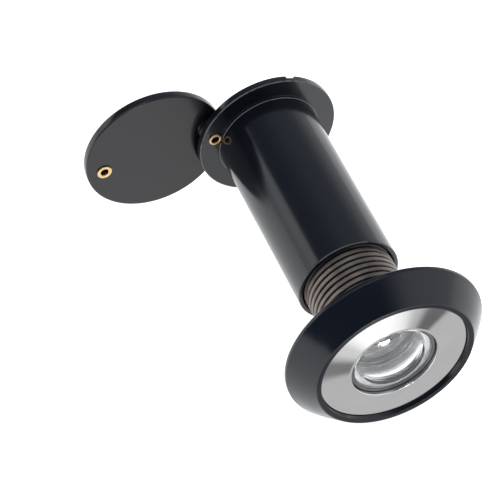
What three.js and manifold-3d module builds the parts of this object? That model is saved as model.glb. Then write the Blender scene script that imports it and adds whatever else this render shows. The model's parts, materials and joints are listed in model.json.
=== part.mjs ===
// Door viewer for a 16 mm hole: an outer unit with a bezel, a bright reflector ring, a stack of
// objective lenses and an externally threaded barrel, and an inner unit with a sleeve that screws
// over the barrel, an eyepiece, a rear flange and a swinging privacy cover.
//
// Millimetres, +Z up. The optical axis is the Y axis: -Y is outdoors, +Y is indoors, and y = 0 is
// the plane of the door's outer face, where the back of the bezel rests.

import * as THREE from "three";
import { mergeVertices } from "three/addons/utils/BufferGeometryUtils.js";
import Module from "manifold-3d";

// ---- driving dimensions ----------------------------------------------------------------------

const SLEEVE_R = 7.85; // outside of the tube that passes through the 16 mm hole
const SLEEVE_BORE_R = 7.2;
const SLEEVE_Y = 12.0; // mouth of the sleeve at rest
const FLANGE_Y = 43.2; // face of the rear flange that rests on the door's inner face
const FLANGE_R = 11.0;
const FLANGE_T = 1.2;
const FLANGE_HUB_R = 8.1; // low collar between the sleeve and the flange
const FLANGE_HUB_T = 0.55;
const EYE_R = 4.6; // opening that the eye looks through

const BEZEL_R = 15.2;
const BEZEL_RIM_T = 0.9;
const BEZEL_BACK_CHAMFER = 0.4;
const SKIRT_SWELL = 0.06; // how far the skirt bulges out of a straight cone
const SKIRT_STEPS = 4;
const BEZEL_H = 4.8; // how far the lip stands out of the door
const LIP_OUTER_R = 12.2;
const LIP_INNER_R = 11.35;
const CUP_FLOOR_Y = -3.1;
const REFLECTOR_EDGE_Y = -3.97; // the ring is a shallow cone, foremost at its hole
const REFLECTOR_INNER_Y = -4.4;
const REFLECTOR_HOLE_R = 6.6;
const OBJECTIVE_R = 5.95;
const OBJECTIVE_EDGE_Y = -3.83;
const OBJECTIVE_RISE = 1.6;

const THREAD_PITCH = 1.0;
const THREAD_CREST_R = 6.95;
const THREAD_ROOT_R = 6.4;
const BARREL_BORE_R = 5.7;
const BARREL_FRONT_Y = -2.2;
const BARREL_END_Y = 27.5;
const NUT_CREST_R = 6.6; // inner edge of the thread inside the sleeve's mouth
const NUT_TURNS = 5;
const LENS_R = 5.5;

const COVER_R = 11.0;
const COVER_T = 1.4;
const COVER_GAP = 0.8; // room for the washer between the flange and the cover
const PIVOT_RADIUS = 8.95; // from the optical axis, and from the middle of the cover
const PIVOT_ANGLE = 163; // degrees from +X towards +Z
const COVER_ANGLE = -172; // direction from the pivot to the middle of the open cover
const KNOB_RADIUS = 8.3; // from the middle of the cover
const SHANK_R = 0.75;
const EYELET_BORE_R = 0.58;

const NOTCH_ANGLE = 69; // two opposite slots in the flange, for a coin or a spanner
const NOTCH_W = 1.5;
const NOTCH_T = 0.55;
const NOTCH_INNER_R = 5.9;

const ROUND = 32; // segments round an ordinary turned piece
const FINE_ROUND = 48; // and round the widest ones
const SMALL_ROUND = 16; // and round a rivet
const THREAD_ROUND = 16; // and in one turn of a thread

// ---- solids ----------------------------------------------------------------------------------

const wasm = await Module();
wasm.setup();

const radians = (degrees) => (degrees * Math.PI) / 180;

/** A closed solid turned about the Y axis from [radius, y] points that run round its section. */
function turned(points, segments = ROUND) {
  const outline = points.map(([radius, y]) => new THREE.Vector2(radius, y));
  const onAxis = points[0][0] === 0 && points[points.length - 1][0] === 0;
  if (!onAxis) outline.push(outline[0].clone());
  return new THREE.LatheGeometry(outline, segments);
}

/** A flat-ended ring or tube between two radii and two places along the axis. */
function ring(innerR, outerR, startY, endY, segments = ROUND) {
  return turned([[innerR, startY], [outerR, startY], [outerR, endY], [innerR, endY]], segments);
}

/** Points on a round face of a lens, from radius 0 out to rimR, where the face is at rimY. */
function dome(rimR, rimY, rise, steps) {
  const curveR = (rimR * rimR + rise * rise) / (2 * Math.abs(rise));
  const widest = Math.asin(rimR / curveR);
  const points = [];
  for (let i = 0; i <= steps; i += 1) {
    const angle = (widest * i) / steps;
    const sag = curveR * (Math.cos(angle) - Math.cos(widest));
    points.push([i === 0 ? 0 : curveR * Math.sin(angle), rimY + Math.sign(rise) * sag]);
  }
  return points;
}

function toSolid(geometry) {
  const bare = geometry.clone();
  bare.deleteAttribute("normal");
  bare.deleteAttribute("uv");
  const merged = mergeVertices(bare, 1e-5);
  return new wasm.Manifold(
    new wasm.Mesh({
      numProp: 3,
      vertProperties: new Float32Array(merged.attributes.position.array),
      triVerts: new Uint32Array(merged.index.array),
    }),
  );
}

function toGeometry(solid) {
  const mesh = solid.getMesh();
  const geometry = new THREE.BufferGeometry();
  geometry.setAttribute("position", new THREE.BufferAttribute(mesh.vertProperties, 3));
  geometry.setIndex(new THREE.BufferAttribute(mesh.triVerts, 1));
  geometry.computeVertexNormals();
  return geometry;
}

/**
 * A solid rod about the Y axis with a right-handed thread: a turned profile of ridges, sheared
 * along the axis by one pitch a turn, so that each ridge runs on into the next, and closed at
 * both ragged ends by a fan to the axis. The thread's ends are cut to length afterwards.
 */
function screwSolid({ rootR, crestR, rootHalf, crestHalf, startY, turns }) {
  const outline = [];
  for (let i = 0; i <= turns + 1; i += 1) {
    const y = startY + i * THREAD_PITCH;
    outline.push(
      new THREE.Vector2(rootR, y - rootHalf),
      new THREE.Vector2(crestR, y - crestHalf),
      new THREE.Vector2(crestR, y + crestHalf),
      new THREE.Vector2(rootR, y + rootHalf),
    );
  }
  const geometry = new THREE.LatheGeometry(outline, THREAD_ROUND);
  const position = geometry.attributes.position;
  const rows = outline.length;
  for (let i = 0; i < position.count; i += 1) {
    const turn = Math.floor(i / rows) / THREAD_ROUND;
    position.setY(i, position.getY(i) + turn * THREAD_PITCH);
  }
  const column = (turnStep, row) => turnStep * rows + row;
  const lowLoop = [];
  const highLoop = [];
  for (let step = 0; step <= THREAD_ROUND; step += 1) {
    lowLoop.push(column(step, 0));
    highLoop.push(column(step, rows - 1));
  }
  for (let row = 3; row >= 0; row -= 1) lowLoop.push(column(0, row));
  for (let row = 2; row <= 5; row += 1) highLoop.push(column(THREAD_ROUND, rows - row));
  const points = Array.from(position.array);
  const index = Array.from(geometry.index.array);
  const lowCentre = points.push(0, startY, 0) / 3 - 1;
  const highCentre = points.push(0, startY + (turns + 2) * THREAD_PITCH, 0) / 3 - 1;
  for (let i = 0; i + 1 < lowLoop.length; i += 1) {
    index.push(lowCentre, lowLoop[i + 1], lowLoop[i]);
    index.push(highCentre, highLoop[i], highLoop[i + 1]);
  }
  const closed = new THREE.BufferGeometry();
  closed.setAttribute("position", new THREE.Float32BufferAttribute(points, 3));
  closed.setIndex(index);
  return toSolid(closed);
}

function movedSolid(geometry, x, y, z) {
  return toSolid(geometry.clone().translate(x, y, z));
}

// ---- places ----------------------------------------------------------------------------------

const FLANGE_BACK_Y = FLANGE_Y + FLANGE_T;
const COVER_Y = FLANGE_BACK_Y + COVER_GAP;
const COVER_BACK_Y = COVER_Y + COVER_T;
const HUB_Y = FLANGE_Y - FLANGE_HUB_T;
const TUBE_NOSE_R = 7.4; // reduced end of the sleeve, inside the flange
const TUBE_END_Y = FLANGE_Y + 0.35;

/** A point [x, z] at a radius and an angle in degrees about the optical axis or another centre. */
function polar(radius, degrees, centre = [0, 0]) {
  const angle = radians(degrees);
  return [centre[0] + radius * Math.cos(angle), centre[1] + radius * Math.sin(angle)];
}

const PIVOT = polar(PIVOT_RADIUS, PIVOT_ANGLE);
const COVER_CENTRE = polar(PIVOT_RADIUS, COVER_ANGLE, PIVOT);
const KNOB = polar(KNOB_RADIUS, COVER_ANGLE, COVER_CENTRE);

// ---- outer unit ------------------------------------------------------------------------------

function outerBezel() {
  const boreR = THREAD_CREST_R + 0.15;
  const skirtEdge = [BEZEL_R, -BEZEL_RIM_T];
  const lipEdge = [LIP_OUTER_R, -BEZEL_H + 0.15];
  const skirt = [];
  for (let i = 1; i < SKIRT_STEPS; i += 1) {
    const t = i / SKIRT_STEPS;
    const swell = SKIRT_SWELL * Math.sin(Math.PI * t);
    skirt.push([
      lipEdge[0] + (skirtEdge[0] - lipEdge[0]) * t + swell,
      lipEdge[1] + (skirtEdge[1] - lipEdge[1]) * t - swell,
    ]);
  }
  return turned([
    [boreR, 0],
    [boreR, BARREL_FRONT_Y - 0.05],
    [REFLECTOR_HOLE_R, BARREL_FRONT_Y - 0.05],
    [REFLECTOR_HOLE_R, CUP_FLOOR_Y],
    [LIP_INNER_R, CUP_FLOOR_Y],
    [LIP_INNER_R, -BEZEL_H + 0.15],
    [LIP_INNER_R + 0.15, -BEZEL_H],
    [LIP_OUTER_R - 0.15, -BEZEL_H],
    lipEdge,
    ...skirt,
    [BEZEL_R - 0.05, -BEZEL_RIM_T - 0.05],
    [BEZEL_R, -BEZEL_RIM_T + 0.05],
    [BEZEL_R, -BEZEL_BACK_CHAMFER],
    [BEZEL_R - BEZEL_BACK_CHAMFER, 0],
  ], FINE_ROUND);
}

function reflectorRing() {
  return turned([
    [REFLECTOR_HOLE_R, CUP_FLOOR_Y - 0.05],
    [REFLECTOR_HOLE_R, REFLECTOR_INNER_Y + 0.08],
    [REFLECTOR_HOLE_R + 0.08, REFLECTOR_INNER_Y],
    [REFLECTOR_HOLE_R + 0.4, REFLECTOR_INNER_Y],
    [LIP_INNER_R - 0.1, REFLECTOR_EDGE_Y],
    [LIP_INNER_R - 0.1, CUP_FLOOR_Y - 0.05],
  ], FINE_ROUND);
}

function objectiveRetainer() {
  return ring(OBJECTIVE_R + 0.08, REFLECTOR_HOLE_R - 0.1, -3.8, -3.35);
}

function objectiveLens() {
  const back = dome(4.6, BARREL_FRONT_Y - 0.15, -1.35, 4);
  const front = dome(OBJECTIVE_R, OBJECTIVE_EDGE_Y, -OBJECTIVE_RISE, 5);
  return turned([
    ...front,
    [OBJECTIVE_R, -3.25],
    [REFLECTOR_HOLE_R - 0.15, -3.25],
    [REFLECTOR_HOLE_R - 0.15, BARREL_FRONT_Y - 0.15],
    ...back.reverse(),
  ]);
}

function lensSpacerFront() {
  return ring(4.7, LENS_R, -2.1, -0.7);
}

function secondLens() {
  const back = dome(4.4, 1.4, -1.1, 4);
  return turned([[0, -0.6], [LENS_R, -0.6], [LENS_R, 1.4], ...back.reverse()]);
}

function lensSpacerRear() {
  return ring(4.5, LENS_R, 1.5, 3.1);
}

function thirdLens() {
  const front = dome(4.2, 3.2, 0.75, 3);
  const back = dome(4.2, 5.4, -0.75, 3);
  return turned([...front, [LENS_R, 3.2], [LENS_R, 5.4], ...back.reverse()]);
}

function lensLockRing() {
  const body = toSolid(ring(4.3, LENS_R, 5.5, 6.9));
  const slot = movedSolid(new THREE.BoxGeometry(2 * LENS_R + 2, 0.7, 1.0), 0, 6.75, 0);
  return toGeometry(body.subtract(slot));
}

function threadedBarrel() {
  const screw = screwSolid({
    rootR: THREAD_ROOT_R,
    crestR: THREAD_CREST_R,
    rootHalf: 0.36,
    crestHalf: 0.2,
    startY: -3.47,
    turns: Math.ceil(BARREL_END_Y / THREAD_PITCH) + 5,
  });
  const chamfer = THREAD_CREST_R - THREAD_ROOT_R + 0.1;
  const envelope = toSolid(turned([
    [BARREL_BORE_R, BARREL_FRONT_Y],
    [THREAD_CREST_R + 0.1, BARREL_FRONT_Y],
    [THREAD_CREST_R + 0.1, BARREL_END_Y - chamfer],
    [THREAD_CREST_R + 0.1 - chamfer, BARREL_END_Y],
    [BARREL_BORE_R, BARREL_END_Y],
  ], THREAD_ROUND));
  return toGeometry(screw.intersect(envelope));
}

// ---- inner unit ------------------------------------------------------------------------------

function innerSleeve() {
  const lipR = 6.0; // inner lip that the eyepiece lens rests on
  const lipY = 39.6;
  const tube = toSolid(turned([
    [SLEEVE_BORE_R, SLEEVE_Y + 0.1],
    [SLEEVE_BORE_R + 0.1, SLEEVE_Y],
    [SLEEVE_R - 0.2, SLEEVE_Y],
    [SLEEVE_R, SLEEVE_Y + 0.2],
    [SLEEVE_R, HUB_Y - 0.05],
    [TUBE_NOSE_R, HUB_Y - 0.05],
    [TUBE_NOSE_R, TUBE_END_Y],
    [6.75, TUBE_END_Y],
    [6.75, lipY + 0.6],
    [lipR, lipY + 0.6],
    [lipR, lipY],
    [SLEEVE_BORE_R, lipY],
  ]));
  const nutEndY = SLEEVE_Y + 0.4 + NUT_TURNS * THREAD_PITCH;
  const nut = toSolid(ring(NUT_CREST_R, SLEEVE_BORE_R + 0.2, SLEEVE_Y + 0.4, nutEndY));
  const tap = screwSolid({
    rootR: NUT_CREST_R - 0.1,
    crestR: SLEEVE_BORE_R,
    rootHalf: 0.42,
    crestHalf: 0.2,
    startY: SLEEVE_Y - 2.47,
    turns: NUT_TURNS + 3,
  });
  return toGeometry(tube.add(nut.subtract(tap)));
}

function rearFlange() {
  const disc = toSolid(turned([
    [TUBE_NOSE_R + 0.05, HUB_Y],
    [FLANGE_HUB_R, HUB_Y],
    [FLANGE_HUB_R, FLANGE_Y],
    [FLANGE_R - 0.1, FLANGE_Y],
    [FLANGE_R, FLANGE_Y + 0.1],
    [FLANGE_R, FLANGE_BACK_Y - 0.2],
    [FLANGE_R - 0.2, FLANGE_BACK_Y],
    [EYE_R + 0.3, FLANGE_BACK_Y],
    [EYE_R, FLANGE_BACK_Y - 0.3],
    [EYE_R, TUBE_END_Y + 0.1],
    [TUBE_NOSE_R + 0.05, TUBE_END_Y + 0.1],
  ], FINE_ROUND));
  const holeR = SHANK_R + 0.05;
  const hole = new THREE.CylinderGeometry(holeR, holeR, 4, SMALL_ROUND);
  const seatR = PIVOT_RADIUS - SLEEVE_R; // the rivet's head needs a flat seat beside the sleeve
  const seat = new THREE.CylinderGeometry(seatR, seatR, 2, SMALL_ROUND);
  const notch = new THREE.BoxGeometry(FLANGE_R, 2 * NOTCH_T, NOTCH_W);
  let solid = disc
    .subtract(movedSolid(hole, PIVOT[0], FLANGE_Y, PIVOT[1]))
    .subtract(movedSolid(seat, PIVOT[0], FLANGE_Y - 1, PIVOT[1]));
  for (const side of [0, 180]) {
    const [x, z] = polar(NOTCH_INNER_R + FLANGE_R / 2, NOTCH_ANGLE + side);
    const turnedNotch = notch.clone().rotateY(-radians(NOTCH_ANGLE + side));
    solid = solid.subtract(movedSolid(turnedNotch, x, FLANGE_BACK_Y, z));
  }
  return toGeometry(solid);
}

function eyepieceLens() {
  const front = dome(6.0, 40.75, -0.45, 3);
  const back = dome(5.4, 42.4, 0.5, 3);
  return turned([...front, [6.65, 40.75], [6.65, 42.4], ...back.reverse()]);
}

function eyepieceRing() {
  return ring(5.45, 6.65, 42.5, 43.45);
}

function pivotRivet() {
  const headY = FLANGE_Y - 0.3;
  const endY = COVER_BACK_Y + 0.05;
  return turned([
    [0, headY + 1.6],
    [EYELET_BORE_R, headY + 1.5],
    [EYELET_BORE_R, headY + 0.15],
    [EYELET_BORE_R + 0.14, headY],
    [0.9, headY],
    [1.05, headY + 0.15],
    [0.98, FLANGE_Y - 0.02],
    [SHANK_R, FLANGE_Y - 0.02],
    [SHANK_R, endY],
    [1.4, endY],
    [1.3, endY + 0.35],
    [0.8, endY + 0.65],
    [0, endY + 0.75],
  ], SMALL_ROUND);
}

function coverWasher() {
  return ring(SHANK_R + 0.1, 1.8, FLANGE_BACK_Y + 0.05, COVER_Y - 0.05, SMALL_ROUND);
}

function privacyCover() {
  const disc = toSolid(turned([
    [0, COVER_Y],
    [COVER_R - 0.15, COVER_Y],
    [COVER_R, COVER_Y + 0.15],
    [COVER_R, COVER_BACK_Y - 0.3],
    [COVER_R - 0.3, COVER_BACK_Y],
    [0, COVER_BACK_Y],
  ], FINE_ROUND));
  const holeR = SHANK_R + 0.08;
  const hole = new THREE.CylinderGeometry(holeR, holeR, 4, SMALL_ROUND);
  const holes = [-PIVOT_RADIUS, KNOB_RADIUS].map((radius) => polar(radius, COVER_ANGLE));
  let solid = disc;
  for (const [x, z] of holes) {
    solid = solid.subtract(movedSolid(hole, x, COVER_Y, z));
  }
  return toGeometry(solid);
}

function knobRivet() {
  const endY = COVER_Y - 0.25;
  const seatY = COVER_BACK_Y + 0.05;
  return turned([
    [0, endY + 1.5],
    [EYELET_BORE_R, endY + 1.4],
    [EYELET_BORE_R, endY + 0.12],
    [EYELET_BORE_R + 0.18, endY],
    [0.98, endY],
    [1.2, endY + 0.12],
    [1.1, COVER_Y - 0.02],
    [SHANK_R, COVER_Y - 0.02],
    [SHANK_R, seatY],
    [1.3, seatY],
    [1.3, seatY + 0.4],
    [0.95, seatY + 0.9],
    [1.05, seatY + 1.5],
    [1.55, seatY + 2.1],
    [1.55, seatY + 2.6],
    [1.1, seatY + 3.05],
    [0, seatY + 3.15],
  ], SMALL_ROUND);
}

// ---- scene graph -----------------------------------------------------------------------------

const finish = {
  satinBlack: { color: 0x17181a, roughness: 0.38, metalness: 0.3 },
  glossBlack: { color: 0x0f1013, roughness: 0.22, metalness: 0.3 },
  chrome: { color: 0xe2e2e4, roughness: 0.05, metalness: 1 },
  bronze: { color: 0x6d625c, roughness: 0.42, metalness: 0.9 },
  brass: { color: 0xcfa35a, roughness: 0.28, metalness: 1 },
  darkMetal: { color: 0x3a3a3c, roughness: 0.5, metalness: 0.8 },
  aluminium: { color: 0xb4b4b6, roughness: 0.4, metalness: 1 },
  steel: { color: 0xa9a9ab, roughness: 0.35, metalness: 1 },
  glass: { color: 0xeef4f6, roughness: 0.02, metalness: 0 },
};

function piece(name, geometry, look, place = [0, 0]) {
  const mesh = new THREE.Mesh(geometry, new THREE.MeshStandardMaterial(finish[look]));
  mesh.name = name;
  mesh.position.set(place[0], 0, place[1]);
  return mesh;
}

const outerUnit = new THREE.Group();
outerUnit.add(
  piece("outer_bezel", outerBezel(), "satinBlack"),
  piece("reflector_ring", reflectorRing(), "chrome"),
  piece("objective_retainer", objectiveRetainer(), "aluminium"),
  piece("objective_lens", objectiveLens(), "glass"),
  piece("lens_spacer_front", lensSpacerFront(), "aluminium"),
  piece("second_lens", secondLens(), "glass"),
  piece("lens_spacer_rear", lensSpacerRear(), "aluminium"),
  piece("third_lens", thirdLens(), "glass"),
  piece("lens_lock_ring", lensLockRing(), "darkMetal"),
  piece("threaded_barrel", threadedBarrel(), "bronze"),
);

const innerUnit = new THREE.Group();
innerUnit.add(
  piece("inner_sleeve", innerSleeve(), "glossBlack"),
  piece("rear_flange", rearFlange(), "glossBlack"),
  piece("eyepiece_lens", eyepieceLens(), "glass"),
  piece("eyepiece_ring", eyepieceRing(), "darkMetal"),
  piece("pivot_rivet", pivotRivet(), "brass", PIVOT),
  piece("cover_washer", coverWasher(), "steel", PIVOT),
);

const cover = new THREE.Group();
cover.add(
  piece("privacy_cover", privacyCover(), "satinBlack", COVER_CENTRE),
  piece("knob_rivet", knobRivet(), "brass", KNOB),
);

const doorViewer = new THREE.Group();
doorViewer.add(outerUnit, innerUnit, cover);

export default doorViewer;
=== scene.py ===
"""Looks for the door viewer: fine meshes, procedural finishes, studio floor, lights and camera."""

import json
import math

import bmesh
import bpy
from mathutils import Matrix, Vector

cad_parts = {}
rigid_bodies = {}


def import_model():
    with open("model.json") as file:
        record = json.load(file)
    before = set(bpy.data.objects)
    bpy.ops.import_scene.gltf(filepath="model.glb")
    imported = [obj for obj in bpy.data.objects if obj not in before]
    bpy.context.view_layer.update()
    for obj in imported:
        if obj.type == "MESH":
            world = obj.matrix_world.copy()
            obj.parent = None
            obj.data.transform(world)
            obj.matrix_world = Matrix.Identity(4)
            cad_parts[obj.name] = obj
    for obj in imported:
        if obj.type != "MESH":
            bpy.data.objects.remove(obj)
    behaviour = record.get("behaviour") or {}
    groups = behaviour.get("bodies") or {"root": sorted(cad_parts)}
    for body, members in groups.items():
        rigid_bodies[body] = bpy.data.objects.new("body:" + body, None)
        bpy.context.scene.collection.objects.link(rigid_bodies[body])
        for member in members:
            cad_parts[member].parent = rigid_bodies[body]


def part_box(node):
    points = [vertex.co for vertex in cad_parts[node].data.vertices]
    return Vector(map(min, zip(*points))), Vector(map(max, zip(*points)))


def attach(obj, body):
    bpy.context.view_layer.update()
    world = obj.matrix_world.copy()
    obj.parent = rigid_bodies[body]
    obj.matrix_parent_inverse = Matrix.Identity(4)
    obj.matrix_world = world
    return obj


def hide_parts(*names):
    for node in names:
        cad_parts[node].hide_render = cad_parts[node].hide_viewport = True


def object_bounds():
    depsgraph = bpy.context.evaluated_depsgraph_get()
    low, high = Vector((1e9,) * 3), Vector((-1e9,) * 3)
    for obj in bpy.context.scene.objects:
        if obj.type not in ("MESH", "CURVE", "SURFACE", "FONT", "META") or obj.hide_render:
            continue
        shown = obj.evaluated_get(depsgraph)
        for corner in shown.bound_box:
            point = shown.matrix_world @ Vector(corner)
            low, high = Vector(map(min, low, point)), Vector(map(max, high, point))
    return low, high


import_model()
cad_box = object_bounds()

MM = 0.001

# ---- view and studio ---------------------------------------------------------------------------

VIEW_AZIMUTH = -21.858  # degrees, 0 looks at the bezel square on from outdoors
VIEW_ELEVATION = 48.984
VIEW_DISTANCE = 394.386 * MM
VIEW_AIM = Vector((-11.256, 22.407, 0.487)) * MM
LENS = 194.62  # millimetres
SENSOR = 36

# ---- sizes read from the CAD nodes -------------------------------------------------------------


def outer_radius(node):
    low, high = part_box(node)
    return (high.x - low.x) / 2 / MM


def ends(node):
    low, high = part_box(node)
    return low.y / MM, high.y / MM


def centre(node):
    low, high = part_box(node)
    return Vector(((low.x + high.x) / 2, 0, (low.z + high.z) / 2))


barrel_front, barrel_end = ends("threaded_barrel")
bezel_front, _ = ends("outer_bezel")
bezel_r = outer_radius("outer_bezel")
reflector_front, reflector_back = ends("reflector_ring")
reflector_r = outer_radius("reflector_ring")
sleeve_mouth, sleeve_end = ends("inner_sleeve")
sleeve_r = outer_radius("inner_sleeve")
hub_front, flange_back = ends("rear_flange")
flange_r = outer_radius("rear_flange")
rivet_front, _ = ends("pivot_rivet")
pivot = centre("pivot_rivet")
cover_front, cover_back = ends("privacy_cover")
cover_r = outer_radius("privacy_cover")
cover_middle = centre("privacy_cover")
knob_front, _ = ends("knob_rivet")
knob = centre("knob_rivet")

# Sizes inside those boxes, in millimetres.
BEZEL_BORE_R = 7.1
HOLE_R = 6.6  # in the bright ring
LIP_OUT_R = 12.2
LIP_IN_R = 11.35
RIM_T = 0.9
SKIRT_SWELL = 0.06
CUP_Y = -3.1
REFLECTOR_EDGE_Y = -3.97
OBJECTIVE_R = 5.95
LENS_R = 5.5
PITCH = 1.0
THREAD_ROOT_R = 6.4
THREAD_H = 0.55
BARREL_BORE_R = 5.7
BORE_R = 7.2  # in the sleeve
NOSE_R = 7.4  # the end of the sleeve that the flange sits on
NOSE_BORE_R = 6.75
NUT_LENGTH = 5.0
HUB_R = 8.1
HUB_T = 0.55
FLANGE_FRONT = hub_front + HUB_T
EYE_R = 4.6
SHANK_R = 0.75
EYELET_R = 0.58
PIVOT_RADIUS = 8.95
NOTCH_ANGLE = 69  # degrees from +X towards +Z
NOTCH_SIZE = (10.9, 1.1, 1.5)
NOTCH_MIDDLE_R = 11.35
ROUND = 160  # segments round an ordinary turned piece
BEZEL_ROUND = 192
SMALL_ROUND = 64

# ---- mesh building -----------------------------------------------------------------------------


def rounded(points, steps=4):
    """A closed section from (r, y) or (r, y, fillet) corners, with its fillets drawn as arcs."""
    outline = []
    count = len(points)
    for i, point in enumerate(points):
        corner = Vector(point[:2])
        if len(point) == 2:
            outline.append(tuple(corner))
            continue
        back = Vector(points[i - 1][:2]) - corner
        ahead = Vector(points[(i + 1) % count][:2]) - corner
        half = back.angle(ahead) / 2
        reach = min(point[2] / math.tan(half), 0.49 * back.length, 0.49 * ahead.length)
        start = corner + back.normalized() * reach
        end = corner + ahead.normalized() * reach
        weight = math.sin(half)
        for step in range(steps + 1):
            t = step / steps
            parts = ((1 - t) ** 2, 2 * t * (1 - t) * weight, t * t)
            total = sum(parts)
            outline.append(tuple((start * parts[0] + corner * parts[1] + end * parts[2]) / total))
    return outline


def dome(rim_r, rim_y, rise, steps):
    """Points on a round lens face, from the axis out to its rim."""
    curve = (rim_r ** 2 + rise ** 2) / (2 * abs(rise))
    widest = math.asin(rim_r / curve)
    points = []
    for i in range(steps + 1):
        angle = widest * i / steps
        sag = curve * (math.cos(angle) - math.cos(widest))
        points.append((curve * math.sin(angle), rim_y + math.copysign(sag, rise)))
    return points


def add_turned(mesh, outline, segments, place=Vector()):
    """Adds to a bmesh the solid that a section makes when it turns about the Y axis."""
    rings = []
    for radius, y in outline:
        turns = 1 if radius < 1e-6 else segments
        ring = []
        for j in range(turns):
            angle = 2 * math.pi * j / segments
            spot = Vector((radius * math.sin(angle), y, radius * math.cos(angle))) * MM
            ring.append(mesh.verts.new(spot + place))
        rings.append(ring)
    for a, b in zip(rings, rings[1:] + rings[:1]):
        if len(a) == 1 and len(b) == 1:
            continue
        for j in range(segments):
            k = (j + 1) % segments
            corners = [a[j % len(a)], b[j % len(b)], b[k % len(b)], a[k % len(a)]]
            mesh.faces.new(list(dict.fromkeys(corners)))
    return mesh


def add_rod(mesh, radius, start, end, segments, place):
    """Adds a plain rod along the Y axis."""
    outline = [(0, start), (radius, start), (radius, end), (0, end)]
    add_turned(mesh, outline, segments, place)


def smooth_fade(value):
    value = min(max(value, 0), 1)
    return value * value * (3 - 2 * value)


def add_screw(mesh, ridge, start, end, root, height, phase, bore, segments, fade=0.7):
    """Adds a ring with a right-handed thread on one side and a plain wall at radius bore.

    ridge is a list of (place along the axis, share of height) across one ridge.
    """
    first = math.floor(start - phase) - 2
    count = math.ceil(end - start) + 5
    rows = len(ridge) * count
    columns = []
    for j in range(segments):
        turn = j / segments
        angle = 2 * math.pi * turn
        column = []
        for k in range(count):
            for offset, share in ridge:
                y = phase + (first + k + turn) * PITCH + offset
                stands = smooth_fade((y - start) / fade) * smooth_fade((end - y) / fade)
                radius = root + height * share * stands
                y = min(max(y, start), end)
                spot = Vector((radius * math.sin(angle), y, radius * math.cos(angle))) * MM
                column.append(mesh.verts.new(spot))
        columns.append(column)
    for j in range(segments):
        shift = len(ridge) if j == segments - 1 else 0
        a, b = columns[j], columns[(j + 1) % segments]
        for i in range(rows - 1 - shift):
            mesh.faces.new((a[i], a[i + 1], b[i + 1 + shift], b[i + shift]))
    verts = [v for column in columns for v in column]
    bmesh.ops.remove_doubles(mesh, verts=verts, dist=2e-7)
    loops = []
    for y in (start, end):
        rim = [e for e in mesh.edges
               if e.is_boundary and all(abs(v.co.y - y * MM) < 1e-7 for v in e.verts)]
        made = bmesh.ops.extrude_edge_only(mesh, edges=rim)["geom"]
        for v in [g for g in made if isinstance(g, bmesh.types.BMVert)]:
            scale = bore * MM / math.hypot(v.co.x, v.co.z)
            v.co = Vector((v.co.x * scale, v.co.y, v.co.z * scale))
        loops += [g for g in made if isinstance(g, bmesh.types.BMEdge) and g.is_boundary]
    bmesh.ops.bridge_loops(mesh, edges=loops)


def finished(name, mesh, material, body, slot, *nodes, place=Vector(), sharp=32, weighted=True):
    """Turns a bmesh into a piece that rides on a body, stands for CAD nodes and has its finish."""
    bmesh.ops.recalc_face_normals(mesh, faces=mesh.faces)
    data = bpy.data.meshes.new(name)
    mesh.to_mesh(data)
    mesh.free()
    for polygon in data.polygons:
        polygon.use_smooth = True
    data.set_sharp_from_angle(angle=math.radians(sharp))
    piece = bpy.data.objects.new(name, data)
    bpy.context.scene.collection.objects.link(piece)
    piece.location = place
    data.materials.append(material)
    if weighted:
        modifier = piece.modifiers.new("weighted", "WEIGHTED_NORMAL")
        modifier.keep_sharp = True
    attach(piece, body)
    if nodes:
        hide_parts(*nodes)
    return piece


def cut(mesh, cutter):
    """The bmesh mesh with the bmesh cutter taken away."""
    objects = []
    for part in (mesh, cutter):
        bmesh.ops.recalc_face_normals(part, faces=part.faces)
        data = bpy.data.meshes.new("work")
        part.to_mesh(data)
        part.free()
        solid = bpy.data.objects.new("work", data)
        bpy.context.scene.collection.objects.link(solid)
        objects.append(solid)
    solid, tool = objects
    modifier = solid.modifiers.new("cut", "BOOLEAN")
    modifier.operation = "DIFFERENCE"
    modifier.solver = "EXACT"
    modifier.use_self = True
    modifier.object = tool
    bevel = solid.modifiers.new("bevel", "BEVEL")
    bevel.width = 0.05 * MM
    bevel.segments = 2
    bevel.limit_method = "ANGLE"
    bevel.angle_limit = math.radians(50)
    bpy.context.view_layer.update()
    graph = bpy.context.evaluated_depsgraph_get()
    result = bmesh.new()
    result.from_mesh(solid.evaluated_get(graph).to_mesh())
    for thing in objects:
        data = thing.data
        bpy.data.objects.remove(thing)
        bpy.data.meshes.remove(data)
    return result


def add_box(mesh, size, place, degrees):
    """Adds a box of a size in millimetres, turned about the Y axis, centred on a place."""
    made = bmesh.ops.create_cube(mesh, size=1)["verts"]
    turn = Matrix.Rotation(math.radians(degrees), 4, "Y")
    matrix = Matrix.Translation(place) @ turn @ Matrix.Diagonal((*(s * MM for s in size), 1))
    bmesh.ops.transform(mesh, matrix=matrix, verts=made)


# ---- finishes ----------------------------------------------------------------------------------

# A pale line painted along sharp turned edges of the lacquer: a painted highlight.
EDGE_HIGHLIGHT_TONE = (0.13, 0.13, 0.14)
EDGE_HIGHLIGHT_FADE = (0.16 * MM, 0.08 * MM)  # how far from the edge the painted highlight starts, and is full


def add_node(tree, kind, inputs=None, **settings):
    made = tree.nodes.new(kind)
    for key, value in settings.items():
        setattr(made, key, value)
    for key, value in (inputs or {}).items():
        if isinstance(value, bpy.types.NodeSocket):
            tree.links.new(value, made.inputs[key])
        else:
            made.inputs[key].default_value = value
    return made


def new_finish(name):
    """A material with an empty tree, its shader, and the piece's own coordinates."""
    material = bpy.data.materials.new(name)
    material.use_nodes = True
    tree = material.node_tree
    tree.nodes.clear()
    shader = add_node(tree, "ShaderNodeBsdfPrincipled")
    add_node(tree, "ShaderNodeOutputMaterial", {"Surface": shader.outputs[0]})
    coords = add_node(tree, "ShaderNodeTexCoord").outputs["Object"]
    return material, tree, shader, coords


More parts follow.
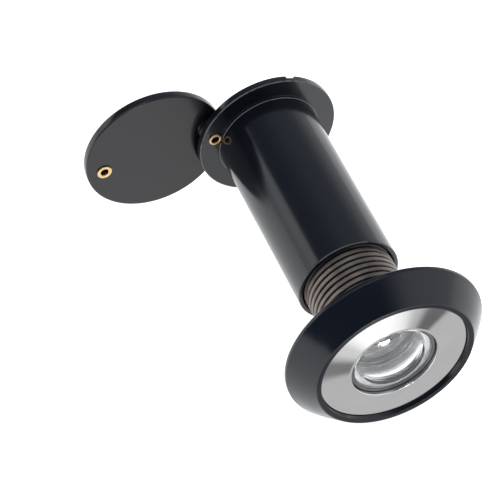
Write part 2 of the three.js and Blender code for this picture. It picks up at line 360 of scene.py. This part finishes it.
def noise(tree, coords, scale, detail=3.0, roughness=0.5, stretch=None):
    if stretch:
        coords = add_node(
            tree, "ShaderNodeMapping", {"Vector": coords, "Scale": stretch}).outputs[0]
    return add_node(tree, "ShaderNodeTexNoise", {
        "Vector": coords, "Scale": scale, "Detail": detail, "Roughness": roughness,
    }).outputs["Fac"]


def ranged(tree, value, low, high, from_low=0.3, from_high=0.7):
    return add_node(tree, "ShaderNodeMapRange", {
        "Value": value, "From Min": from_low, "From Max": from_high,
        "To Min": low, "To Max": high,
    }).outputs["Result"]


def blended(tree, factor, a, b):
    mix = add_node(tree, "ShaderNodeMix", data_type="RGBA")
    for socket, value in ((mix.inputs[0], factor), (mix.inputs[6], a), (mix.inputs[7], b)):
        if isinstance(value, bpy.types.NodeSocket):
            tree.links.new(value, socket)
        elif isinstance(value, tuple):
            socket.default_value = (*value, 1)
        else:
            socket.default_value = value
    return mix.outputs[2]


def math_node(tree, operation, a, b):
    return add_node(tree, "ShaderNodeMath", {0: a, 1: b}, operation=operation).outputs[0]


def patch(tree, strength, *fades):
    """One soft area of light, where all of its fades (value, start, end) overlap."""
    total = strength
    for value, start, end in fades:
        step = add_node(tree, "ShaderNodeMapRange", {"Value": value, "From Min": start,
                        "From Max": end}, interpolation_type="SMOOTHSTEP").outputs["Result"]
        total = math_node(tree, "MULTIPLY", step, total)
    return total


def bumps(tree, shader, layers):
    """Stacks (height, distance in mm, strength) bump layers onto the shader's normal."""
    normal = None
    for height, distance, strength in layers:
        inputs = {"Height": height, "Distance": distance * MM, "Strength": strength}
        if normal:
            inputs["Normal"] = normal
        normal = add_node(tree, "ShaderNodeBump", inputs).outputs[0]
    tree.links.new(normal, shader.inputs["Normal"])


def axis_radius(tree, coords):
    """Distance from the Y axis through the piece's origin, in metres."""
    flat = add_node(tree, "ShaderNodeVectorMath",
                    {0: coords, 1: (1, 0, 1)}, operation="MULTIPLY").outputs[0]
    return add_node(tree, "ShaderNodeVectorMath", {0: flat}, operation="LENGTH").outputs[1]


def lacquer(name, colour, low, high, rims=()):
    """Black lacquer over metal: orange peel, fine dust and hairline scratches.

    Its roughness lies between low and high. rims are the (r, y) places of sharp turned edges
    where a pale line is painted as a highlight.
    """
    material, tree, shader, coords = new_finish(name)
    mottle = noise(tree, coords, 220, 4)
    highlight_breakup = noise(tree, coords, 900, 5, 0.6)
    dust = noise(tree, coords, 5200, 2)
    scratches = noise(tree, coords, 1300, 2, 0.4, (1, 0.06, 1))
    hair = ranged(tree, scratches, 0, 1, 0.66, 0.7)
    base = blended(tree, mottle, colour, tuple(c * 1.35 for c in colour))
    section = add_node(tree, "ShaderNodeCombineXYZ", {
        0: axis_radius(tree, coords),
        1: add_node(tree, "ShaderNodeSeparateXYZ", {0: coords}).outputs["Y"],
    }).outputs[0]
    # Along each rim a pale line is painted: a painted highlight.
    for rim_r, rim_y in rims:
        away = add_node(tree, "ShaderNodeVectorMath",
                        {0: section, 1: (rim_r * MM, rim_y * MM, 0)},
                        operation="DISTANCE").outputs["Value"]
        edge_highlight = patch(tree, 1, (away, *EDGE_HIGHLIGHT_FADE), (highlight_breakup, 0.3, 0.5))
        base = blended(tree, edge_highlight, base, EDGE_HIGHLIGHT_TONE)
    tree.links.new(base, shader.inputs["Base Color"])
    rough = ranged(tree, mottle, low, high)
    rough = math_node(tree, "ADD", rough, math_node(tree, "MULTIPLY", hair, 0.03))
    rough = math_node(tree, "ADD", rough, ranged(tree, dust, 0, 0.015, 0.5, 0.7))
    tree.links.new(rough, shader.inputs["Roughness"])
    shader.inputs["IOR"].default_value = 1.5
    bumps(tree, shader, [
        (noise(tree, coords, 900, 2), 0.003, 0.2),
        (dust, 0.0006, 0.2),
        (hair, 0.0006, 0.2),
    ])
    return material


def turned_metal(name, dark, light, low, high, lines, line_depth, metallic=1.0):
    """Bare metal with fine turning lines, tone mottling and a few smudges."""
    material, tree, shader, coords = new_finish(name)
    tone = noise(tree, coords, 180, 4, 0.55)
    tree.links.new(blended(tree, ranged(tree, tone, 0, 1), dark, light),
                   shader.inputs["Base Color"])
    radius = axis_radius(tree, coords)
    place = add_node(tree, "ShaderNodeSeparateXYZ", {0: coords}).outputs["Y"]
    marks = add_node(tree, "ShaderNodeTexNoise", {
        "W": math_node(tree, "ADD", radius, place), "Scale": lines, "Detail": 2.0,
    }, noise_dimensions="1D").outputs["Fac"]
    rough = math_node(tree, "ADD", ranged(tree, tone, low, high),
                      ranged(tree, marks, 0, 0.05))
    tree.links.new(rough, shader.inputs["Roughness"])
    shader.inputs["Metallic"].default_value = metallic
    bumps(tree, shader, [
        (marks, line_depth, 0.4),
        (noise(tree, coords, 2600, 3), line_depth, 0.15),
    ])
    return material


def eyelet_brass(name):
    """Rolled brass with a dark brown disc painted round its axis: painted shade in the hollow of its
    open head, and a painted dark disc on its closed head, which has no hollow.
    """
    material, tree, shader, coords = new_finish(name)
    radius = axis_radius(tree, coords)
    tone = noise(tree, coords, 900, 4, 0.55)
    metal = blended(tree, ranged(tree, tone, 0, 1), (0.6, 0.4, 0.18), (0.88, 0.66, 0.36))
    # Dark brown within 0.55–0.66 mm of the axis: painted shade in the hollow, and a painted dark disc
    # on the closed heads.
    axis_shade = ranged(tree, radius, 0, 1, 0.55 * MM, 0.66 * MM)
    tree.links.new(blended(tree, axis_shade, (0.2, 0.09, 0.025), metal),
                   shader.inputs["Base Color"])
    tree.links.new(ranged(tree, tone, 0.2, 0.34), shader.inputs["Roughness"])
    shader.inputs["Metallic"].default_value = 1
    bumps(tree, shader, [(noise(tree, coords, 2600, 3), 0.002, 0.3)])
    return material


def thread_metal(name, root, crest):
    """Dull bronze-grey machined thread, with painted shade making it darker down in its grooves."""
    material, tree, shader, coords = new_finish(name)
    radius = axis_radius(tree, coords)
    # Darker colour towards the thread's root: painted shade in the grooves.
    groove_shade = ranged(tree, radius, 0, 1, (root + 0.08) * MM, (crest - 0.06) * MM)
    stain = noise(tree, coords, 420, 5, 0.6)
    metal = blended(tree, ranged(tree, stain, 0, 1), (0.15, 0.127, 0.113), (0.27, 0.233, 0.21))
    skin = blended(tree, groove_shade, (0.05, 0.044, 0.042), metal)
    bore = ranged(tree, radius, 1, 0, 5.8 * MM, 6.0 * MM)
    tree.links.new(blended(tree, bore, skin, (0.5, 0.48, 0.47)), shader.inputs["Base Color"])
    tool = noise(tree, coords, 700, 3, 0.5, (0.35, 9, 0.35))
    rough = math_node(tree, "ADD", ranged(tree, stain, 0.3, 0.44), ranged(tree, tool, 0, 0.1))
    tree.links.new(rough, shader.inputs["Roughness"])
    shader.inputs["Metallic"].default_value = 0.9
    bumps(tree, shader, [(tool, 0.006, 0.5), (noise(tree, coords, 3000, 3), 0.003, 0.3)])
    return material


def optical_glass(name, tint):
    """Clear polished glass with a trace of dust on it."""
    material, tree, shader, coords = new_finish(name)
    dust = ranged(tree, noise(tree, coords, 2400, 3, 0.6), 0.0, 0.02, 0.6, 0.75)
    smear = ranged(tree, noise(tree, coords, 260, 3), 0.0, 0.012, 0.5, 0.7)
    tree.links.new(math_node(tree, "ADD", dust, smear), shader.inputs["Roughness"])
    tree.links.new(blended(tree, noise(tree, coords, 300, 2), tint, (1, 1, 1)),
                   shader.inputs["Base Color"])
    shader.inputs["Transmission Weight"].default_value = 1
    shader.inputs["IOR"].default_value = 1.52
    return material


satin_black = lacquer("satin_black", (0.0034, 0.005, 0.009), 0.17, 0.22)
# gloss_black carries the painted highlight along the sleeve mouth, hub and flange edges.
gloss_black = lacquer("gloss_black", (0.0056, 0.007, 0.0108), 0.13, 0.18,
                     ((sleeve_r - 0.01, sleeve_mouth + 0.02), (HUB_R - 0.01, hub_front + 0.01),
                      (flange_r - 0.03, FLANGE_FRONT + 0.03)))
cover_black = lacquer("cover_black", (0.006, 0.005, 0.008), 0.15, 0.2)
chrome = turned_metal("bright_plating", (0.8, 0.8, 0.81), (0.86, 0.86, 0.87), 0.035, 0.06,
                      9000, 0.0002)
aluminium = turned_metal("satin_aluminium", (0.42, 0.42, 0.43), (0.54, 0.54, 0.55), 0.3, 0.42,
                         5000, 0.002, metallic=0.25)
# A darker copy of satin_aluminium for the retainer: painted shade.
shaded_aluminium = turned_metal("shaded_aluminium", (0.12, 0.12, 0.125), (0.17, 0.17, 0.175),
                              0.3, 0.42, 5000, 0.002, metallic=0.25)
steel = turned_metal("washer_steel", (0.42, 0.42, 0.44), (0.58, 0.58, 0.6), 0.26, 0.4,
                     6000, 0.002)
brass = eyelet_brass("yellow_brass")
dark_metal = turned_metal("blackened_metal", (0.05, 0.05, 0.052), (0.11, 0.11, 0.115),
                          0.3, 0.45, 6000, 0.002)
bronze = thread_metal("bronze_thread", THREAD_ROOT_R, THREAD_ROOT_R + THREAD_H)
glass = optical_glass("clear_glass", (0.965, 0.985, 0.99))

# ---- outer unit --------------------------------------------------------------------------------


def turned_piece(name, outline, material, body, slot, *nodes, segments=ROUND, **more):
    mesh = add_turned(bmesh.new(), outline, segments)
    return finished(name, mesh, material, body, slot, *nodes, **more)


def skirt_points(steps=8, lip_drop=0.15):
    """The bezel's cone from its lip to its rim, without its two ends."""
    points = []
    for i in range(1, steps):
        t = i / steps
        swell = SKIRT_SWELL * math.sin(math.pi * t)
        points.append((
            LIP_OUT_R + (bezel_r - LIP_OUT_R) * t + swell,
            bezel_front + lip_drop + (-bezel_front - lip_drop - RIM_T) * t - swell,
        ))
    return points


turned_piece("bezel_shell", rounded([
    (BEZEL_BORE_R, 0, 0.15), (BEZEL_BORE_R, barrel_front - 0.05),
    (HOLE_R, barrel_front - 0.05), (HOLE_R, CUP_Y),
    (LIP_IN_R, CUP_Y, 0.1), (LIP_IN_R, bezel_front, 0.12),
    (LIP_OUT_R - 0.07, bezel_front, 0.14), *skirt_points(), (bezel_r, -RIM_T, 0.16),
    (bezel_r, -0.4, 0.15), (bezel_r - 0.4, 0, 0.15),
], 5), satin_black, "outer_unit", "black_paint", "outer_bezel", segments=BEZEL_ROUND)

turned_piece("reflector", rounded([
    (HOLE_R, reflector_back), (HOLE_R, reflector_front, 0.12),
    (HOLE_R + 0.4, reflector_front, 0.25), (reflector_r, REFLECTOR_EDGE_Y, 0.05),
    (reflector_r, reflector_back),
], 6), chrome, "outer_unit", "bright_chrome", "reflector_ring", segments=BEZEL_ROUND)

# The retainer wears the darker copy of the aluminium: painted shade in the cup.
turned_piece("glass_retainer", rounded([
    (6.03, -3.8, 0.06), (6.03, -3.35, 0.04), (6.5, -3.35, 0.04), (6.5, -3.8, 0.06),
]), shaded_aluminium, "outer_unit", "satin_aluminium", "objective_retainer")

turned_piece("objective_glass", [
    *dome(OBJECTIVE_R, -3.83, -1.6, 24), (OBJECTIVE_R, -3.3), (6.0, -3.25), (6.4, -3.25), (6.45, -3.2),
    (6.45, -2.4), (6.4, -2.35), *reversed(dome(4.6, -2.35, -1.35, 18)),
], glass, "outer_unit", "optical_glass", "objective_lens", weighted=False)

turned_piece("front_spacer", rounded([
    (4.7, -2.1, 0.12), (4.7, -0.7, 0.12), (LENS_R, -0.7, 0.08), (LENS_R, -2.1, 0.08),
]), aluminium, "outer_unit", "satin_aluminium", "lens_spacer_front")

turned_piece("second_glass", [
    (0, -0.6), (LENS_R - 0.05, -0.6), (LENS_R, -0.55), (LENS_R, 1.35), (LENS_R - 0.05, 1.4),
    *reversed(dome(4.4, 1.4, -1.1, 18)),
], glass, "outer_unit", "optical_glass", "second_lens", weighted=False)

turned_piece("rear_spacer", rounded([
    (4.5, 1.5, 0.12), (4.5, 3.1, 0.12), (LENS_R, 3.1, 0.08), (LENS_R, 1.5, 0.08),
]), aluminium, "outer_unit", "satin_aluminium", "lens_spacer_rear")

turned_piece("third_glass", [
    *dome(4.2, 3.2, 0.75, 14), (LENS_R - 0.05, 3.2), (LENS_R, 3.25),
    (LENS_R, 5.35), (LENS_R - 0.05, 5.4),
    *reversed(dome(4.2, 5.4, -0.75, 14)),
], glass, "outer_unit", "optical_glass", "third_lens", weighted=False)

lock = add_turned(bmesh.new(), rounded([
    (4.3, 5.5, 0.1), (LENS_R, 5.5, 0.08), (LENS_R, 6.9, 0.1), (4.3, 6.9, 0.15),
]), 96)
slot_tool = bmesh.new()
add_box(slot_tool, (14, 0.7, 1.0), Vector((0, 6.75, 0)) * MM, 0)
finished("lock_ring", cut(lock, slot_tool), dark_metal, "outer_unit", "blackened_metal",
         "lens_lock_ring")

# One ridge of each thread: (place along the axis in millimetres, share of its height).
RIDGE = [(-0.41, 0), (-0.38, 0.08), (-0.32, 0.84), (-0.29, 0.96), (-0.24, 1), (-0.08, 0.95),
         (0.08, 0.95), (0.24, 1), (0.29, 0.96), (0.32, 0.84), (0.38, 0.08), (0.41, 0)]
barrel = bmesh.new()
add_screw(barrel, RIDGE, start=barrel_front, end=barrel_end, root=THREAD_ROOT_R, height=THREAD_H,
          phase=0.53, bore=BARREL_BORE_R, segments=120)
finished("screw_barrel", barrel, bronze, "outer_unit", "bronze_thread", "threaded_barrel",
         weighted=False, sharp=48)

# ---- inner unit --------------------------------------------------------------------------------

tube = add_turned(bmesh.new(), rounded([
    (BORE_R, sleeve_mouth, 0.1), (BORE_R, 39.6, 0.1), (6.0, 39.6, 0.1), (6.0, 40.2, 0.1),
    (NOSE_BORE_R, 40.2), (NOSE_BORE_R, sleeve_end, 0.1), (NOSE_R, sleeve_end, 0.1),
    (NOSE_R, hub_front - 0.05), (sleeve_r, hub_front - 0.05, 0.06),
    (sleeve_r, sleeve_mouth, 0.2),
]), ROUND)
NUT_RIDGE = [(-0.30, 0), (-0.25, 0.1), (-0.12, 0.9), (-0.07, 1),
             (0.07, 1), (0.12, 0.9), (0.25, 0.1), (0.30, 0)]
nut_start = sleeve_mouth + 0.4
add_screw(tube, NUT_RIDGE, start=nut_start, end=nut_start + NUT_LENGTH, root=BORE_R - 0.02,
          height=-0.5, phase=0.03, bore=BORE_R + 0.2, segments=96)
finished("sleeve_tube", tube, gloss_black, "sleeve", "gloss_black", "inner_sleeve")

flange = add_turned(bmesh.new(), rounded([
    (NOSE_R + 0.05, hub_front), (HUB_R, hub_front, 0.1), (HUB_R, FLANGE_FRONT, 0.06),
    (flange_r, FLANGE_FRONT, 0.14), (flange_r, flange_back, 0.2),
    (EYE_R, flange_back, 0.3), (EYE_R, sleeve_end + 0.1), (NOSE_R + 0.05, sleeve_end + 0.1),
], 5), ROUND)
tools = bmesh.new()
add_rod(tools, SHANK_R + 0.05, 43, 46, 32, pivot)
add_rod(tools, PIVOT_RADIUS - sleeve_r, 41, FLANGE_FRONT, 40, pivot)
for side in (0, 180):
    spot = math.radians(NOTCH_ANGLE + side)
    x, z = NOTCH_MIDDLE_R * math.cos(spot), NOTCH_MIDDLE_R * math.sin(spot)
    add_box(tools, NOTCH_SIZE, Vector((x, flange_back, z)) * MM, -NOTCH_ANGLE - side)
finished("flange_plate", cut(flange, tools), gloss_black, "sleeve", "gloss_black", "rear_flange")

turned_piece("eyepiece_glass", [
    *dome(6.0, 40.75, -0.45, 12), (6.6, 40.75), (6.65, 40.8), (6.65, 42.35), (6.6, 42.4),
    *reversed(dome(5.4, 42.4, 0.5, 12)),
], glass, "eyepiece", "optical_glass", "eyepiece_lens", weighted=False)

turned_piece("eyepiece_spacer", rounded([
    (5.45, 42.5, 0.1), (6.65, 42.5, 0.08), (6.65, 43.45, 0.08), (5.45, 43.45, 0.1),
]), dark_metal, "eyepiece", "blackened_metal", "eyepiece_ring")

seat = cover_back + 0.05  # where the rivets' indoor heads start
turned_piece("pivot_eyelet", rounded([
    (0, rivet_front + 1.6), (EYELET_R, rivet_front + 1.5, 0.1), (EYELET_R, rivet_front, 0.16),
    (1.05, rivet_front, 0.2), (0.98, FLANGE_FRONT - 0.02, 0.08), (SHANK_R, FLANGE_FRONT - 0.02),
    (SHANK_R, seat), (1.4, seat, 0.08), (1.34, seat + 0.37, 0.25), (0.8, seat + 0.65, 0.5),
    (0, seat + 0.75),
], 5), brass, "sleeve", "brass", "pivot_rivet", segments=SMALL_ROUND, place=pivot)

turned_piece("drag_washer", rounded([
    (SHANK_R + 0.1, flange_back + 0.05, 0.08), (1.8, flange_back + 0.05, 0.15),
    (1.8, cover_front - 0.05, 0.15), (SHANK_R + 0.1, cover_front - 0.05, 0.08),
]), steel, "sleeve", "washer_steel", "cover_washer", segments=SMALL_ROUND, place=centre("cover_washer"))

# ---- cover -------------------------------------------------------------------------------------

plate = add_turned(bmesh.new(), rounded([
    (0, cover_front), (cover_r, cover_front, 0.2), (cover_r, cover_back, 0.3), (0, cover_back),
], 5), ROUND)
holes = bmesh.new()
for place in (pivot, knob):
    add_rod(holes, SHANK_R + 0.08, 44.8, 47, 32, place - cover_middle)
finished("cover_plate", cut(plate, holes), cover_black, "cover", "black_paint", "privacy_cover",
         place=cover_middle)

turned_piece("knob_eyelet", rounded([
    (0, knob_front + 1.5), (EYELET_R, knob_front + 1.4, 0.1), (EYELET_R, knob_front, 0.2),
    (1.2, knob_front, 0.22), (1.1, cover_front - 0.02, 0.08), (SHANK_R, cover_front - 0.02),
    (SHANK_R, seat), (1.3, seat, 0.1), (1.3, seat + 0.4, 0.15), (0.95, seat + 0.9, 0.4),
    (1.05, seat + 1.5, 0.4), (1.55, seat + 2.1, 0.3), (1.55, seat + 2.6, 0.3),
    (1.1, seat + 3.05, 0.4), (0, seat + 3.15),
], 5), brass, "cover", "brass", "knob_rivet", segments=SMALL_ROUND, place=knob)

# The lenses cast no shadow, so light reaches the spacers behind them.
for piece in bpy.data.objects:
    if piece.name.endswith("_glass"):
        piece.visible_shadow = False

# ---- floor, lights and camera ------------------------------------------------------------------

floor_mesh = bmesh.new()
bmesh.ops.create_grid(floor_mesh, x_segments=8, y_segments=8, size=3)
floor_data = bpy.data.meshes.new("floor")
floor_mesh.to_mesh(floor_data)
floor_mesh.free()
floor = bpy.data.objects.new("floor", floor_data)
floor.location = (0, 0, cad_box[0].z)
bpy.context.scene.collection.objects.link(floor)
paper, tree, shader, coords = new_finish("floor_paper")
grain = noise(tree, coords, 60, 4)
tree.links.new(blended(tree, grain, (0.52, 0.52, 0.52), (0.55, 0.55, 0.55)),
               shader.inputs["Base Color"])
shader.inputs["Roughness"].default_value = 0.9
shader.inputs["Specular IOR Level"].default_value = 0.1
shader.inputs["Emission Color"].default_value = (1, 1, 1, 1)
across = add_node(tree, "ShaderNodeSeparateXYZ", {0: coords}).outputs["X"]
FLOOR_GLOW = 0.97
# A band of extra glow across the floor, from about 2 to 50 mm in x and fullest from 12 to 18 mm: a
# painted pool of light.
floor_light_band = patch(tree, 0.35, (across, 0.002, 0.012), (across, 0.05, 0.018))
tree.links.new(math_node(tree, "ADD", floor_light_band, FLOOR_GLOW), shader.inputs["Emission Strength"])
floor_data.materials.append(paper)


def add_softbox(name, direction, distance, width, height, power, roll=0):
    """A rectangular studio light that faces the object from a direction in the row frame."""
    light = bpy.data.lights.new(name, "AREA")
    light.shape = "RECTANGLE"
    light.size = width
    light.size_y = height
    light.energy = power
    lamp = bpy.data.objects.new(name, light)
    away = Vector(direction).normalized()
    lamp.location = VIEW_AIM + away * distance
    lamp.rotation_euler = (-away).to_track_quat("-Z", "Y").to_euler()
    lamp.rotation_euler.rotate_axis("Z", math.radians(roll))
    bpy.context.scene.collection.objects.link(lamp)
    return lamp


# The highlight on the front glass, and a fill for the lens stack that mirrors do not show.
add_softbox("lens_box", direction=(0.06, -0.997, -0.01), distance=0.27, width=0.066,
            height=0.02, power=0.1, roll=14)
stack_fill = add_softbox("stack_fill", direction=(-0.05, -0.99, 0.08), distance=0.3, width=0.08,
                         height=0.08, power=0.07)
stack_fill.visible_glossy = False

world = bpy.data.worlds.new("studio")
world.use_nodes = True
sky = world.node_tree
direction = add_node(sky, "ShaderNodeTexCoord").outputs["Generated"]
sky_x, sky_y, sky_z = add_node(sky, "ShaderNodeSeparateXYZ", {0: direction}).outputs
SKY_GLOW = 0.11
glow = SKY_GLOW
indoors = (sky_y, -0.1, 0.4)
left_indoors = ((sky_x, -0.25, -0.5), (sky_y, 0.1, 0.4), (sky_z, 0.46, 0.4))
for area in (
    patch(sky, 0.08, indoors),
    patch(sky, 0.24, (sky_x, -0.55, 0.3), indoors),
    # low on the right, indoors
    patch(sky, 0.45, (sky_x, 0.15, 0.7), (sky_z, 0.65, 0.05), indoors),
    # on the left, indoors, and a band of it that is brighter
    patch(sky, 0.85, *left_indoors),
    patch(sky, 0.45, *left_indoors, (sky_z, 0.05, 0.3)),
    # on the right, outdoors
    patch(sky, 0.85, (sky_x, 0.05, 0.6), (sky_y, 0.1, -0.2)),
    # overhead
    patch(sky, 2.6, (sky_z, 0.55, 0.72), (sky_y, -0.26, -0.12), (sky_y, 0.32, 0.2),
          (sky_x, 0.35, 0.05)),
):
    glow = math_node(sky, "ADD", area, glow)
hue = blended(sky, ranged(sky, glow, 0, 1, 0.15, 0.7), (0.6, 0.74, 1.0), (0.96, 0.98, 1.0))
sky.links.new(hue, sky.nodes["Background"].inputs["Color"])
sky.links.new(glow, sky.nodes["Background"].inputs["Strength"])
bpy.context.scene.world = world


def mirror_card(name, outline, segments):
    """A stage surface that only glossy rays meet, with its tree and its strength socket.

    outline is the (radius, height) of its two edges.
    """
    data = bpy.data.meshes.new(name)
    sheet = bmesh.new()
    rings = [[sheet.verts.new(Vector((r * math.cos(a), r * math.sin(a), z)) * MM)
              for a in (2 * math.pi * j / segments for j in range(segments))]
             for r, z in outline]
    for j in range(segments):
        k = (j + 1) % segments
        sheet.faces.new((rings[0][j], rings[0][k], rings[1][k], rings[1][j]))
    sheet.to_mesh(data)
    sheet.free()
    card = bpy.data.objects.new(name, data)
    bpy.context.scene.collection.objects.link(card)
    for ray in ("camera", "diffuse", "transmission", "volume_scatter", "shadow"):
        setattr(card, "visible_" + ray, False)
    look = bpy.data.materials.new(name)
    look.use_nodes = True
    tree = look.node_tree
    tree.nodes.clear()
    emission = add_node(tree, "ShaderNodeEmission", {"Color": (1, 1, 1, 1)})
    one_side = add_node(tree, "ShaderNodeMixShader", {
        0: add_node(tree, "ShaderNodeNewGeometry").outputs["Backfacing"],
        1: emission.outputs[0], 2: add_node(tree, "ShaderNodeBsdfTransparent").outputs[0],
    })
    add_node(tree, "ShaderNodeOutputMaterial", {"Surface": one_side.outputs[0]})
    data.materials.append(look)
    return card, tree, emission.inputs["Strength"]


# Two cards that only glossy rays meet. The first lies on the floor before the bezel, and its
# tones by angle make the light and dark wedges in the bright ring. The second is a band inside
# the lip that keeps the ring from mirroring the lip.

CARD_TONE = 0.53
floor_card, tree, strength = mirror_card("floor_card", ((17, 0), (0.5, 0)), 48)
floor_card.location = (0.0062, -0.0192, cad_box[0].z + 0.0002)
floor_card.rotation_euler.z = math.radians(-108)
place = add_node(tree, "ShaderNodeTexCoord").outputs["Object"]
card_x, card_y, _ = add_node(tree, "ShaderNodeSeparateXYZ", {0: place}).outputs
turn = math_node(tree, "MULTIPLY", math_node(tree, "ARCTAN2", card_y, card_x), 180 / math.pi)
tone = CARD_TONE
for area in (
    patch(tree, 0.2, (turn, -58, -46), (turn, 62, 50)),
    patch(tree, 0.27, (turn, -36, -22), (turn, 57, 45)),
    patch(tree, 0.22, (turn, -26, -10), (turn, 50, 28)),
    patch(tree, -0.38, (turn, 93, 86), (turn, 61, 73)),
    patch(tree, -0.31, (turn, -88, -77), (turn, -54, -66)),
):
    tone = math_node(tree, "ADD", area, tone)
tree.links.new(tone, strength)

card_r = LIP_IN_R - 0.03
lip_card, tree, strength = mirror_card(
    "lip_card", ((card_r, REFLECTOR_EDGE_Y), (card_r, bezel_front + 0.02)), 96)
lip_card.rotation_euler.x = math.radians(-90)
strength.default_value = CARD_TONE

bpy.context.scene.view_settings.view_transform = "Standard"

camera_data = bpy.data.cameras.new("camera")
camera_data.lens = LENS
camera_data.sensor_width = SENSOR
camera_data.clip_start = 0.01
camera_data.clip_end = 20
camera = bpy.data.objects.new("camera", camera_data)
azimuth, elevation = math.radians(VIEW_AZIMUTH), math.radians(VIEW_ELEVATION)
towards = Vector((
    math.sin(azimuth) * math.cos(elevation),
    -math.cos(azimuth) * math.cos(elevation),
    math.sin(elevation),
))
camera.location = VIEW_AIM + towards * VIEW_DISTANCE
camera.rotation_euler = (-towards).to_track_quat("-Z", "Y").to_euler()
bpy.context.scene.collection.objects.link(camera)
bpy.context.scene.camera = camera
